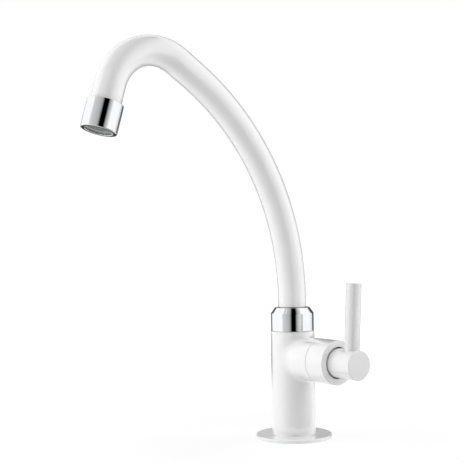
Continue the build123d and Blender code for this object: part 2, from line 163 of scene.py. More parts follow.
def piece(name, grids, loop=True, sharp=32):
    """Mesh object of one or more grids. Doubles are merged, which closes seams and poles. Faces turn
    out."""
    vertices, faces, count = [], [], 0
    for grid in grids if isinstance(grids, list) else [grids]:
        points, quads = quads_of(grid, loop)
        vertices.append(points)
        faces.append(quads + count)
        count += len(points)
    mesh = bpy.data.meshes.new(name)
    mesh.from_pydata(np.concatenate(vertices).tolist(), [], np.concatenate(faces).tolist())
    return tidy(name, mesh, sharp)


def tidy(name, mesh, sharp=32):
    """Merges doubles, turns faces outwards, shades smooth but for edges sharper than the angle."""
    work = bmesh.new()
    work.from_mesh(mesh)
    bmesh.ops.remove_doubles(work, verts=work.verts, dist=2e-7)
    bmesh.ops.dissolve_degenerate(work, edges=work.edges, dist=1e-8)
    bmesh.ops.recalc_face_normals(work, faces=work.faces)
    work.to_mesh(mesh)
    work.free()
    mesh.shade_smooth()
    mesh.set_sharp_from_angle(angle=radians(sharp))
    made = bpy.data.objects.new(name, mesh)
    bpy.context.scene.collection.objects.link(made)
    return made


def mark_bare_and_shade(made, inside):
    """Marks where the white turns dark brown, which is uncoated brass on the casting's spigots and painted
    shade in the sleeve's mouth and at the tube's foot: 1 on the vertices that inside picks by their x, y and
    z, 0 elsewhere."""
    points = np.empty(len(made.data.vertices) * 3)
    made.data.vertices.foreach_get("co", points)
    mark = inside(*points.reshape(-1, 3).T).astype(float)
    made.data.attributes.new("bare_and_shade", "FLOAT", "POINT").data.foreach_set("value", mark)
    return made


def cut(made, *cutters):
    """The piece less its cutters."""
    for cutter in cutters:
        step = made.modifiers.new("cut", "BOOLEAN")
        step.operation, step.solver, step.object = "DIFFERENCE", "EXACT", cutter
    bpy.context.view_layer.update()
    mesh = bpy.data.meshes.new_from_object(made.evaluated_get(bpy.context.evaluated_depsgraph_get()))
    made.modifiers.clear()
    name = made.name
    for old in (made, *cutters):
        bpy.data.objects.remove(old)
    return tidy(name, mesh)


def finish(made, node, body, slot, look=None):
    """The piece stands for the CAD node, rides on its body and takes the slot's finish, or its own look."""
    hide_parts(node)
    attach(made, body)
    made.data.materials.clear()
    made.data.materials.append(FINISH[look or slot])
    return made


# Finishes

def shader(name, color, metallic, roughness, **sockets):
    """Principled material and its nodes."""
    made = bpy.data.materials.new(name)
    made.use_nodes = True
    bsdf = made.node_tree.nodes["Principled BSDF"]
    bsdf.inputs["Base Color"].default_value = (*color, 1)
    bsdf.inputs["Metallic"].default_value = metallic
    bsdf.inputs["Roughness"].default_value = roughness
    for socket, value in sockets.items():
        bsdf.inputs[socket.replace("_", " ")].default_value = value
    return made, made.node_tree, bsdf


def place_of(tree, stretch=(1, 1, 1)):
    """Object coordinates, stretched."""
    place = tree.nodes.new("ShaderNodeTexCoord")
    mapping = tree.nodes.new("ShaderNodeMapping")
    mapping.inputs["Scale"].default_value = stretch
    tree.links.new(place.outputs["Object"], mapping.inputs["Vector"])
    return mapping.outputs["Vector"]


def grain(tree, scale, detail, stretch=(1, 1, 1)):
    """Noise of about 1/scale metres."""
    noise = tree.nodes.new("ShaderNodeTexNoise")
    noise.inputs["Scale"].default_value = scale
    noise.inputs["Detail"].default_value = detail
    noise.inputs["Roughness"].default_value = 0.55
    tree.links.new(place_of(tree, stretch), noise.inputs["Vector"])
    return noise.outputs["Fac"]


def spread(tree, factor, low, high, start=0.3, stop=0.7):
    """A factor that goes from start to stop, mapped to low to high."""
    ramp = tree.nodes.new("ShaderNodeMapRange")
    for socket, value in zip(("From Min", "From Max", "To Min", "To Max"), (start, stop, low, high)):
        ramp.inputs[socket].default_value = value
    tree.links.new(factor, ramp.inputs["Value"])
    return ramp.outputs["Result"]


def tint(tree, bsdf, factor, low, high):
    """Base colour mixed between two colours."""
    mix = tree.nodes.new("ShaderNodeMix")
    mix.data_type = "RGBA"
    mix.inputs["A"].default_value = (*low, 1)
    mix.inputs["B"].default_value = (*high, 1)
    tree.links.new(factor, mix.inputs["Factor"])
    tree.links.new(mix.outputs["Result"], bsdf.inputs["Base Color"])
    return mix.outputs["Result"]


def mottle(tree, bsdf, low, high, scale, detail, stretch=(1, 1, 1)):
    """Base colour that wanders between two colours over a noise."""
    return tint(tree, bsdf, spread(tree, grain(tree, scale, detail, stretch), 0, 1), low, high)


def haze(tree, bsdf, low, high, scale, detail):
    """Roughness that wanders between two values over a noise."""
    tree.links.new(spread(tree, grain(tree, scale, detail), low, high), bsdf.inputs["Roughness"])


def relief(tree, bsdf, depth, strength, scale, detail, stretch=(1, 1, 1)):
    """Bumps of a noise, their depth in metres."""
    height = grain(tree, scale, detail, stretch)
    bump = tree.nodes.new("ShaderNodeBump")
    bump.inputs["Distance"].default_value = depth
    bump.inputs["Strength"].default_value = strength
    tree.links.new(height, bump.inputs["Height"])
    tree.links.new(bump.outputs["Normal"], bsdf.inputs["Normal"])


def math_of(tree, operation, first, second):
    """Math of two outputs."""
    node = tree.nodes.new("ShaderNodeMath")
    node.operation = operation
    tree.links.new(first, node.inputs[0])
    tree.links.new(second, node.inputs[1])
    return node.outputs[0]


def white_coating(name="baked_white", level=0.87):
    """Baked white gloss: a faint orange peel, a little unevenness in gloss, hardly any in colour. Where a
    mesh's vertices are marked, the coating gives way to dull dark brown brass: uncoated brass on the
    casting's spigots, out of sight, and painted shade in the sleeve's mouth and in a thin line on the tube
    just above the collar."""
    made, tree, bsdf = shader(name, (level, level, level), metallic=0, roughness=0.16,
                              Coat_Weight=1.0, Coat_Roughness=0.04, Coat_IOR=1.7, Specular_IOR_Level=0.5)
    low, high = [(level + off, level + off, level + off + 0.005) for off in (-0.015, 0.015)]
    white = mottle(tree, bsdf, low, high, scale=60, detail=4)
    haze(tree, bsdf, 0.13, 0.2, scale=140, detail=4)
    relief(tree, bsdf, depth=0.006 * MM, strength=0.6, scale=700, detail=2)
    # Marked vertices turn dark brown and uncoated: real brass on the spigots, painted shade in the sleeve's
    # mouth and at the tube's foot
    bare_and_shade = tree.nodes.new("ShaderNodeAttribute")
    bare_and_shade.attribute_name = "bare_and_shade"
    white_to_dark = tint(tree, bsdf, bare_and_shade.outputs["Fac"], (level, level, level), (0.14, 0.128, 0.112))
    tree.links.new(white, white_to_dark.node.inputs["A"])
    tree.links.new(bare_and_shade.outputs["Fac"], bsdf.inputs["Metallic"])
    tree.links.new(spread(tree, bare_and_shade.outputs["Fac"], 1, 0, 0, 1), bsdf.inputs["Coat Weight"])
    return made


def hub_shaded_white():
    """The hub's white, darker than the body's: painted shade."""
    return white_coating("hub_white_painted_shade", 0.83)


def rod_shaded_white():
    """The rod's white, the greyest of the three: painted shade."""
    return white_coating("rod_white_painted_shade", 0.77)


def bright_chrome():
    """Polished chrome with the faintest haze and polishing swirl."""
    made, tree, bsdf = shader("polished_chrome", (0.86, 0.865, 0.875), metallic=1, roughness=0.04)
    mottle(tree, bsdf, (0.845, 0.85, 0.86), (0.885, 0.89, 0.9), scale=90, detail=5)
    haze(tree, bsdf, 0.025, 0.06, scale=400, detail=5)
    return made


def bare_brass():
    """Turned brass: fine tool lines, darker where it has dulled."""
    made, tree, bsdf = shader("turned_brass", (0.78, 0.6, 0.3), metallic=1, roughness=0.3)
    mottle(tree, bsdf, (0.66, 0.47, 0.22), (0.83, 0.66, 0.36), scale=120, detail=6)
    haze(tree, bsdf, 0.22, 0.42, scale=260, detail=6)
    relief(tree, bsdf, depth=0.02 * MM, strength=0.5, scale=900, detail=2, stretch=(1, 1, 6))
    return made


def zinc_steel():
    """Pressed steel, zinc plated: bluish patches of crystal."""
    made, tree, bsdf = shader("plated_steel", (0.6, 0.62, 0.66), metallic=1, roughness=0.35)
    mottle(tree, bsdf, (0.52, 0.54, 0.58), (0.7, 0.71, 0.73), scale=220, detail=5)
    haze(tree, bsdf, 0.28, 0.45, scale=500, detail=4)
    relief(tree, bsdf, depth=0.01 * MM, strength=0.5, scale=1400, detail=3)
    return made


def stainless():
    """Drawn stainless wire and sheet."""
    made, tree, bsdf = shader("stainless_wire", (0.47, 0.47, 0.46), metallic=1, roughness=0.26)
    mottle(tree, bsdf, (0.4, 0.4, 0.39), (0.54, 0.54, 0.53), scale=500, detail=4)
    haze(tree, bsdf, 0.2, 0.34, scale=900, detail=3)
    return made


def black_rubber():
    """Moulded black rubber with a dusty bloom."""
    made, tree, bsdf = shader("moulded_rubber", (0.022, 0.022, 0.023), metallic=0, roughness=0.62,
                              Specular_IOR_Level=0.35)
    mottle(tree, bsdf, (0.016, 0.016, 0.017), (0.036, 0.036, 0.037), scale=160, detail=6)
    haze(tree, bsdf, 0.52, 0.75, scale=300, detail=4)
    relief(tree, bsdf, depth=0.02 * MM, strength=0.6, scale=1600, detail=4)
    return made


def red_fibre():
    """Vulcanised fibre: pressed flakes."""
    made, tree, bsdf = shader("pressed_fibre", (0.33, 0.07, 0.05), metallic=0, roughness=0.75)
    mottle(tree, bsdf, (0.24, 0.045, 0.035), (0.42, 0.1, 0.07), scale=700, detail=6, stretch=(1, 1, 4))
    relief(tree, bsdf, depth=0.03 * MM, strength=0.6, scale=1500, detail=5, stretch=(1, 1, 4))
    return made


def white_acetal():
    """Moulded acetal, slightly translucent and waxy."""
    made, tree, bsdf = shader("moulded_acetal", (0.8, 0.8, 0.77), metallic=0, roughness=0.4,
                              Subsurface_Weight=0.15)
    mottle(tree, bsdf, (0.77, 0.77, 0.74), (0.83, 0.83, 0.81), scale=200, detail=3)
    haze(tree, bsdf, 0.34, 0.48, scale=500, detail=3)
    relief(tree, bsdf, depth=0.008 * MM, strength=0.5, scale=1200, detail=2)
    return made


def grey_alumina():
    """Lapped alumina: dense, fine, almost polished."""
    made, tree, bsdf = shader("lapped_alumina", (0.72, 0.71, 0.67), metallic=0, roughness=0.18,
                              Coat_Weight=0.2)
    mottle(tree, bsdf, (0.69, 0.68, 0.64), (0.75, 0.74, 0.71), scale=1500, detail=3)
    haze(tree, bsdf, 0.12, 0.24, scale=600, detail=3)
    return made


FINISH = {make.__name__: make() for make in (
    white_coating, hub_shaded_white, rod_shaded_white, bright_chrome, bare_brass, zinc_steel, stainless, black_rubber,
    red_fibre, white_acetal, grey_alumina)}

slot_of = {part["node"]: part["material_slot"] for part in frame["record"]["subparts"]}
for node_name, node_object in frame["nodes"].items():
    node_object.data.materials.clear()
    node_object.data.materials.append(FINISH[slot_of[node_name]])


# Column and boss

def even_steps(start, stop, count, upright):
    """Directions from start to stop that meet a straight side, upright or level, at even spacing."""
    square_on = (0, pi) if upright else (-pi / 2, pi / 2)
    choices = [angle + 2 * pi * turns for angle in square_on for turns in (-1, 0, 1)]
    centre = min(choices, key=lambda angle: abs(angle - (start + stop) / 2))
    places = np.linspace(np.tan(start - centre), np.tan(stop - centre), count, endpoint=False)
    return centre + np.arctan(places)


def casting():
    """White body. The column's wall is unrolled flat, with an oval hole where the boss leaves it. Rows of
    points run from the wall's border to the hole, over the blend and along the boss. Lathe-like skirts
    close it."""
    foot_flare = 0.9 * MM
    boss_draft, boss_draft_length = 2.2 * MM, 18.0 * MM
    blend_reach, blend_pull = 3.4 * MM, 0.62
    boss_end = sleeve_low.x - 0.3 * MM
    boss_thread_end = boss_end + 6.2 * MM
    valve_seat = 4 * MM
    socket_floor = casting_high.z - 14.5 * MM
    inlet_roof = 16.4 * MM
    socket_radius = 10.5 * MM
    broken, softened, hair = 0.3 * MM, 0.25 * MM, 0.1 * MM
    wall_top = collar_low.z - 0.05 * MM
    wall_foot = flange_thickness + foot_flare
    half_wide = pi * column_radius
    up, down = wall_top - valve_height, wall_foot - valve_height
    wall_rows, crowding, blend_rows, boss_rows = 44, 1.25, 13, 26

    def drafted(reach):
        """Radius of the boss at a distance from the column's axis."""
        return boss_radius - boss_draft * np.clip(1 - reach / boss_draft_length, 0, 1)

    # Where boss and column meet, for a dense round of angles: the reach and the drafted radius are found
    # together, by repeating
    turn = np.linspace(-pi, pi, 1441)
    reach = np.full_like(turn, column_radius / 2)
    for _ in range(40):
        radius = drafted(reach)
        reach = np.sqrt(np.maximum(column_radius ** 2 - (radius * np.cos(turn)) ** 2, 0))
    radius = drafted(reach)
    flat = np.stack([column_radius * np.arctan2(radius * np.cos(turn), reach), radius * np.sin(turn)], -1)
    along = np.gradient(flat, axis=0)
    along[[0, -1]] = (along[1] + along[-2]) / 2
    outward = np.stack([along[:, 1], -along[:, 0]], -1)
    outward /= np.linalg.norm(outward, axis=1, keepdims=True)
    hole = flat + outward * blend_reach

    # Directions that also meet the four corners of the unrolled wall
    corners = np.array([atan2(down, -half_wide), atan2(down, half_wide), atan2(up, half_wide),
                        atan2(up, -half_wide)])
    counts = (130, 60, 130, 60)
    edges = np.append(corners, corners[0] + 2 * pi)
    aim = np.concatenate([even_steps(edges[i], edges[i + 1], counts[i], i % 2) for i in range(4)])
    table = np.unwrap(np.arctan2(hole[:, 1], hole[:, 0]))
    order = np.argsort(table)
    wrapped = table.min() + np.mod(aim - table.min(), 2 * pi)
    angle = np.interp(wrapped, table[order], turn[order])

    def at_angles(points):
        """Points of the dense round, read off at the directions."""
        return np.stack([np.interp(angle, turn, points[:, i]) for i in range(2)], -1)

    hole_point = at_angles(hole)
    meet = np.interp(angle, turn, reach)
    meet_radius = np.interp(angle, turn, radius)
    ray = np.stack([np.cos(aim), np.sin(aim)], -1)
    to_side = half_wide / np.maximum(np.abs(ray[:, 0]), 1e-9)
    to_end = np.where(ray[:, 1] > 0, up, -down) / np.maximum(np.abs(ray[:, 1]), 1e-9)
    border = ray * np.minimum(to_side, to_end)[:, None]
    share = (np.linspace(0, 1, wall_rows) ** crowding)[:, None, None]
    wall = border + (hole_point - border) * share

    def rolled(points):
        """Points of the unrolled wall, back on the column."""
        return circles(column_radius, valve_height + points[..., 1], points[..., 0] / column_radius)

    # Blend: cubic curve that leaves the wall and meets the boss along their own surfaces
    boss_start = np.stack([meet + blend_reach, meet_radius * np.cos(angle),
                           valve_height + meet_radius * np.sin(angle)], -1)
    wall_start = rolled(hole_point)
    inward = 1e-5 * (hole_point - at_angles(flat)) / blend_reach
    wall_tangent = rolled(hole_point - inward) - wall_start
    wall_tangent /= np.linalg.norm(wall_tangent, axis=1, keepdims=True)
    pull = blend_reach * blend_pull
    first, last = wall_start + wall_tangent * pull, boss_start - np.array([pull, 0, 0])
    t = np.linspace(0, 1, blend_rows)[1:-1, None, None]
    blend = ((1 - t) ** 3 * wall_start + 3 * t * (1 - t) ** 2 * first
             + 3 * t ** 2 * (1 - t) * last + t ** 3 * boss_start)

    # Boss, its end and the way in to the valve seat
    share = np.linspace(0, 1, boss_rows)[:, None]
    along_boss = (meet + blend_reach) + (boss_end - broken - meet - blend_reach) * share
    fade = (1 - share) ** 2
    boss_taper = drafted(along_boss) * (1 - fade) + meet_radius * fade
    end_rows = outline([(boss_radius, boss_end - broken), (boss_radius, boss_end, softened),
                        (spigot_radius, boss_end), (spigot_radius, boss_thread_end, broken),
                        (pipe_thread_bore, boss_thread_end, broken), (pipe_thread_bore, valve_seat),
                        (0, valve_seat)], closed=False)
    along_boss = np.vstack([along_boss, np.repeat(end_rows[1:, 1:], len(angle), 1)])
    boss_taper = np.vstack([boss_taper, np.repeat(end_rows[1:, :1], len(angle), 1)])
    boss = np.stack([along_boss, boss_taper * np.cos(angle), valve_height + boss_taper * np.sin(angle)], -1)
    side = np.concatenate([rolled(wall), blend, boss])

    def skirt(rows, pick):
        """Turned rows that start from the wall's border, at the border's own angles."""
        turn_here = np.unique(np.round(border[pick, 0] / column_radius, 9))[:-1]
        return circles(rows[:, :1], rows[:, 1:], turn_here)

    top_rows = outline([(column_radius, wall_top), (spigot_radius, wall_top),
                        (spigot_radius, casting_high.z, broken), (socket_radius, casting_high.z, broken),
                        (socket_radius, socket_floor), (0, socket_floor)], closed=False)
    bow = np.linspace(0, pi / 2, 8)
    flare_radius = column_radius + foot_flare * (1 - np.cos(bow))
    flare = np.stack([flare_radius, wall_foot - foot_flare * np.sin(bow)], -1)
    foot_rows = np.vstack([flare, outline([
        (column_radius + foot_flare, flange_thickness), (spigot_radius, flange_thickness),
        (spigot_radius, casting_low.z), (pipe_thread_bore, casting_low.z), (pipe_thread_bore, inlet_roof),
        (0, inlet_roof)], closed=False)[1:]])
    top = np.abs(border[:, 1] - up) < 1e-9
    foot = np.abs(border[:, 1] - down) < 1e-9
    made = piece("tap_casting", [side, skirt(top_rows, top), skirt(foot_rows, foot)], loop=False)
    bare_and_shade = spigot_radius + hair
    return mark_bare_and_shade(made, lambda x, y, z: (np.hypot(x, y) < bare_and_shade) | (
        (np.hypot(y, z - valve_height) < bare_and_shade) & (x > boss_end - hair)))


finish(casting(), "body_casting", "tap_body", "white_coating")


# Turned pieces

grub_distance = sleeve_high.x + 3.4 * MM
rod_up = Vector((0, sin(rod_lean), cos(rod_lean)))
rod_front = Vector((0, cos(rod_lean), -sin(rod_lean)))
along_z = (Vector((0, 0, 0)), AXIS_Z)
along_valve = (Vector((0, 0, valve_height)), (Vector((0, 0, -1)), Vector((0, 1, 0)), Vector((1, 0, 0))))
along_rod = (Vector((rod_distance, 0, valve_height)), (Vector((1, 0, 0)), rod_front, rod_up))
along_grub = (Vector((grub_distance, 0, valve_height)), (Vector((1, 0, 0)), -rod_front, -rod_up))


def finer(rows, step):
    """The same section with more points: its length is divided evenly and the corners are kept."""
    length = np.append(0, np.cumsum(np.linalg.norm(np.diff(rows, axis=0), axis=1)))
    places = np.unique(np.round(np.append(length, np.arange(0, length[-1], step)), 8))
    return np.stack([np.interp(places, length, rows[:, i]) for i in range(2)], -1)


def turned(name, corners, frame_of, columns=128, step=None, closed=True):
    """Piece of revolution in a frame: its section's corners, rounded, then turned about the third axis."""
    rows = outline(corners, closed)
    rows = finer(rows, step) if step else rows
    return piece(name, placed(spin(rows, columns), *frame_of), loop=closed)


def flat_ring(name, inner, outer, low, high, edge, columns=128):
    """Flat ring on the column's axis with its four edges rounded."""
    return turned(name, [(inner, low, edge), (outer, low, edge), (outer, high, edge), (inner, high, edge)],
                  along_z, columns)


def ridged(heights, top, depth, pitch):
    """Section rows of a thread's ridges: the radius sinks from the top and rises once for each pitch."""
    return np.stack([top - depth * (0.5 + 0.5 * np.cos(2 * pi * heights / pitch)), heights], -1)


def flange():
    """Round plate with a rolled rim, a seat for the column's foot and a groove for the gasket below."""
    seat, seat_floor = 13.078 * MM, 1.15 * MM
    groove_outer = flange_radius - 3.7 * MM
    groove_inner, groove_top = groove_outer - 4.8 * MM, 1.3 * MM
    foot_round, rim_round = 0.25 * MM, 1.2 * MM
    return turned("flange_plate", [
        (shank_passage, 0), (groove_inner, 0), (groove_inner, groove_top), (groove_outer, groove_top),
        (groove_outer, 0), (flange_radius, 0, foot_round), (flange_radius, flange_thickness, rim_round),
        (seat, flange_thickness), (seat, seat_floor), (shank_passage, seat_floor)], along_z, 192)


def gasket():
    """Soft flat ring that stands a hair proud of its groove."""
    low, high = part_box("base_gasket")
    return flat_ring("deck_gasket", high.x - 4.6 * MM, high.x, low.z, high.z, 0.3 * MM)


def collar():
    """Chromed ring nut: a plain wall, a steep chamfer and a lip round the tube. It has a thread inside."""
    low, high, wall_top = collar_low.z, collar_high.z, collar_high.z - 4.1 * MM
    shoulder, mouth, lip_low = collar_radius - 3.0 * MM, tube_radius + 0.4 * MM, 89.25 * MM
    return turned("chrome_collar", [
        (ring_nut_bore, low, 0.3 * MM), (collar_radius, low, 0.35 * MM), (collar_radius, wall_top, 0.25 * MM),
        (shoulder, high, 0.6 * MM), (mouth, high, 0.15 * MM), (mouth, lip_low), (ring_nut_bore, lip_low)],
        along_z, 192)


def sleeve():
    """Plain tube over the valve's nut, with an inner lip at its mouth."""
    start, end, mouth = sleeve_low.x, sleeve_high.x, hub_radius + 0.7 * MM
    lip_start, hair = end - 3.6 * MM, 0.1 * MM
    made = turned("valve_sleeve", [
        (ring_nut_bore, start), (boss_radius, start, 0.3 * MM), (boss_radius, end, 0.45 * MM),
        (mouth, end, 0.25 * MM), (mouth, lip_start), (ring_nut_bore, lip_start)], along_valve, 192)
    # The bore and the inside of the lip turn dark brown: painted shade in the deep gap round the hub
    return mark_bare_and_shade(made, lambda x, y, z: np.hypot(y, z - valve_height) < np.where(
        x < lip_start + hair, ring_nut_bore + hair, mouth + hair / 2))


def hub():
    """The lever's hub: a plug with a flat end, less the rod's pocket and the grub screw's hole."""
    start, end = hub_low.x, hub_high.x
    spline, bore_end = 4.05 * MM, rod_distance - 5.25 * MM
    stud_end, stud_hole, bar_seat, bar_hole = -2.4 * MM, 3.05 * MM, 8.2 * MM, rod_radius + 0.05 * MM
    grub_hole, outside = 2.05 * MM, 14 * MM
    made = turned("lever_hub", [
        (spline, start, 0.2 * MM), (hub_radius, start, 0.4 * MM), (hub_radius, end, 0.55 * MM), (0, end),
        (0, bore_end), (spline, bore_end)], along_valve, 224, step=0.6 * MM)
    pocket = turned("pocket", [
        (0, stud_end), (stud_hole, stud_end), (stud_hole, bar_seat), (bar_hole, bar_seat),
        (bar_hole, outside), (0, outside)], along_rod, 96, closed=False)
    hole = turned("hole", [(0, 0), (grub_hole, 0), (grub_hole, outside), (0, outside)], along_grub, 48,
                  closed=False)
    return cut(made, pocket, hole)


def lever():
    """Straight bar with a softly rounded top edge. Its stud is threaded: ridges along the stud's length."""
    floor, stud, stud_length = 8.25 * MM, 3.0 * MM, 10 * MM
    heights = np.linspace(floor - stud_length, floor, 121)
    ridges = ridged(heights, stud, depth=0.3 * MM, pitch=1.0 * MM)
    bar = outline([(stud, floor), (rod_radius, floor, 0.3 * MM), (rod_radius, rod_reach, 0.5 * MM),
                   (0, rod_reach)], closed=False)
    rows = np.vstack([[[0, heights[0]]], ridges, bar])
    return piece("lever_bar", placed(spin(rows, 128), *along_rod), loop=False)


finish(flange(), "base_flange", "tap_body", "white_coating")
finish(gasket(), "base_gasket", "tap_body", "black_rubber")
finish(collar(), "spout_collar", "tap_body", "bright_chrome")
finish(sleeve(), "boss_sleeve", "tap_body", "white_coating")
# The hub and the rod take darker copies of the body's white: painted shade
finish(hub(), "handle_hub", "lever", "white_coating", "hub_shaded_white")
finish(lever(), "lever_rod", "lever", "white_coating", "rod_shaded_white")


# Spout

def spout_line():
    """Centre line as stations (y, z, heading), where heading is the lean from straight up towards the
    front, and the point where the nipple's run starts. Each run or arc starts where the last ended. Along
    an arc of radius R the forward step is R (cos a0 - cos a), and the upward step is R (sin a - sin a0)."""
    # Tube length up to the top of the painted shade line above the collar
    to_shade_line_top = collar_high.z + shade_line_height - tube_low.z
    hair = 0.05 * MM
    lengths_turns_counts = (
        (to_shade_line_top, 0, 4),
        (hair, 0, 1),
        (tube_stub - shade_line_height - hair, 0, 3),
        (rise_radius * rise_angle, rise_angle, 72),
        (run_length, 0, 4),
        (bend_radius * bend_angle, bend_angle, 84),
        (drop_length, 0, 4),
        (nipple_length, 0, 3))
    forward, height, heading = 0, tube_low.z, 0
    stations, ends = [np.array([[0, height, 0]])], []
    for length, turn, count in lengths_turns_counts:
        share = np.linspace(0, 1, count + 1)[1:]
        lean = heading + turn * share
        if turn:
            radius = length / turn
            ahead = radius * (cos(heading) - np.cos(lean))
            above = radius * (np.sin(lean) - sin(heading))
        else:
            ahead, above = length * share * sin(heading), length * share * cos(heading)
        stations.append(np.stack([-(forward + ahead), height + above, lean], -1))
        forward, height, heading = forward + ahead[-1], height + above[-1], lean[-1]
        ends.append(Vector((0, -forward, height)))
    return np.concatenate(stations), ends[-2]


line, outlet = spout_line()
aim = Vector((0, -sin(line[-1, 2]), cos(line[-1, 2])))
along_outlet = (outlet, (Vector((1, 0, 0)), aim.cross(Vector((1, 0, 0))), aim))


def spout():
    """Bent tube: circles of the outer radius carried up the centre line, and of the inner radius back down
    it. A circle lies across the line, in the plane of X and (0, cos heading, sin heading). Up to just above
    the collar the tube turns dark brown, which shows as a thin dark line: painted shade of the gap between
    tube and collar."""
    rows = np.concatenate([line, line[::-1]])
    radius = np.repeat([tube_radius, tube_radius - tube_wall], len(line))[:, None]
    turn = full_turn(112)
    side, across = radius * np.cos(turn), radius * np.sin(turn)
    y, z, lean = (rows[:, i:i + 1] for i in range(3))
    made = piece("spout_pipe", np.stack([side, y + across * np.cos(lean), z + across * np.sin(lean)], -1))
    # Dark brown up to a hair above the line: painted shade at the collar's mouth
    return mark_bare_and_shade(made, lambda x, y, z: z < collar_high.z + shade_line_height + 0.01 * MM)


def outlet_ring():
    """Chromed ring nut on the outlet, with a thread and a step inside and a thin lip at the mouth."""
    thread, chamber, lip = 11.08 * MM, 10.395 * MM, 9.395 * MM
    thread_end, lip_floor = 10.2 * MM, ring_length - 1.5 * MM
    return turned("outlet_ring", [
        (thread, 0), (ring_radius, 0, 0.4 * MM), (ring_radius, ring_length, 0.55 * MM),
        (lip, ring_length, 0.35 * MM), (lip, lip_floor), (chamber, lip_floor), (chamber, thread_end),
        (thread, thread_end)], along_outlet, 192)


def nipple():
    """Threaded end piece brazed on the tube: a wave of ridges along its outside."""
    bore, top, chamfer = 10.23 * MM, 11.03 * MM, 0.3 * MM
    low, high = 0.4 * MM, nipple_length
    ridges = ridged(np.linspace(low + chamfer, high - chamfer, 97), top, depth=0.25 * MM, pitch=1.0 * MM)
    rows = np.vstack([[[bore, low], [top - chamfer, low]], ridges, [[top - chamfer, high], [bore, high]]])
    return piece("outlet_nipple_thread", placed(spin(rows, 96), *along_outlet))


def woven(middle, pitch, wire, edge, skew):
    """Grids of one plain-woven screen. A wire runs along one direction at an even pitch and rises and sinks
    as a sine, half a wave for each wire that it crosses, and its neighbour does the opposite. The rim is
    pressed flat."""
    trimmed, outermost, sides = edge - 0.35 * MM, edge - 0.5 * MM, 6
    count = int(outermost / pitch)
    offset = np.arange(-count, count + 1) * pitch
    half = np.sqrt(trimmed ** 2 - offset ** 2)
    share = np.linspace(-1, 1, 81)
    length = half[:, None] * share
    rise = wire * np.cos(pi * length / pitch) * np.where(np.arange(len(offset)) % 2, 1, -1)[:, None]
    turn = full_turn(sides)
    thick = np.where(np.abs(share) < 1, wire, 0)[None, :, None]
    along = np.broadcast_to(length[:, :, None], (*length.shape, sides))
    beside = offset[:, None, None] + thick * np.cos(turn)
    skewed = np.array([[cos(skew), sin(skew), 0], [-sin(skew), cos(skew), 0], [0, 0, 1]])
    grids = []
    for swap in (False, True):
        above = middle + rise[:, :, None] * (-1 if swap else 1) + thick * np.sin(turn)
        wires = np.stack([beside, along, above] if swap else [along, beside, above], -1) @ skewed
        grids += [placed(one, *along_outlet) for one in wires]
    inner, low, high, soft = edge - 0.75 * MM, middle - 0.17 * MM, middle + 0.17 * MM, 0.12 * MM
    rim = outline([(inner, low, soft), (edge, low, soft), (edge, high, soft), (inner, high, soft)])
    rim = placed(spin(rim, 72), *along_outlet)
    return grids + [np.concatenate([rim, rim[:1]])]


def screens():
    """Two fine screens and a coarse one nearest the mouth."""
    edge, seat = 9.245 * MM, 10.375 * MM
    fine, coarse = (0.9 * MM, 0.11 * MM), (1.25 * MM, 0.155 * MM)
    grids = (woven(seat + 3.6 * MM, *fine, edge, 0.2) + woven(seat + 4.6 * MM, *fine, edge, 0.9)
             + woven(seat + 6.2 * MM, *coarse, edge, radians(-53.4)))
    return piece("woven_screens", grids, loop=False, sharp=60)


finish(spout(), "spout_tube", "spout", "white_coating")
finish(outlet_ring(), "aerator_ring", "spout", "bright_chrome")
finish(nipple(), "outlet_nipple", "spout", "bare_brass")
finish(screens(), "aerator_screens", "spout", "stainless")


# Below the deck

def shank():
    """Threaded tube. Its outside is r(z, t) = crest - depth * w(z / pitch - t / 2 pi), where w goes from 0
    to 1 and back once a turn with rounded crests and roots, and fades out at the ends and at the relief
    groove."""
    crest, bore, pitch, depth = thread_radius, 7.5 * MM, 1.814 * MM, 1.1 * MM
    top, end = shank_high.z, shank_low.z
    relief_low, relief_high, root = end + 13.2 * MM, end + 15.6 * MM, crest - 1.3 * MM
    chamfer, lead_in, run_out, squareness = 1.2 * MM, 0.4 * MM, 0.6 * MM, 3.2
    upper_pitches, tail_pitches, rows_a_pitch, columns = 34, 8, 9, 96
    heights = np.concatenate([np.linspace(top, relief_high, upper_pitches * rows_a_pitch),
                              np.linspace(relief_high, relief_low, 3)[1:-1],
                              np.linspace(relief_low, end, tail_pitches * rows_a_pitch)])[:, None]
    turn = full_turn(columns)
    wave = 0.5 - 0.5 * np.cos(2 * pi * (heights / pitch - turn / (2 * pi)))
    wave = 0.5 + 0.5 * np.tanh(squareness * (wave - 0.5)) / np.tanh(squareness / 2)
    near = np.min(np.abs(heights - np.array([top, relief_high, relief_low, end])), axis=1, keepdims=True)
    radius = crest - depth * wave * np.clip(near / run_out, 0, 1)
    groove = (heights < relief_high - 1e-7) & (heights > relief_low + 1e-7)
    radius = np.where(groove, root, radius)
    radius = np.minimum(radius, crest - chamfer + (heights - end))
    inside = spin(np.array([[bore + lead_in, end], [bore, end + lead_in], [bore, top - lead_in],
                            [bore + lead_in, top]]), columns)
    return piece("inlet_shank", np.concatenate([circles(radius, heights, turn), inside]))


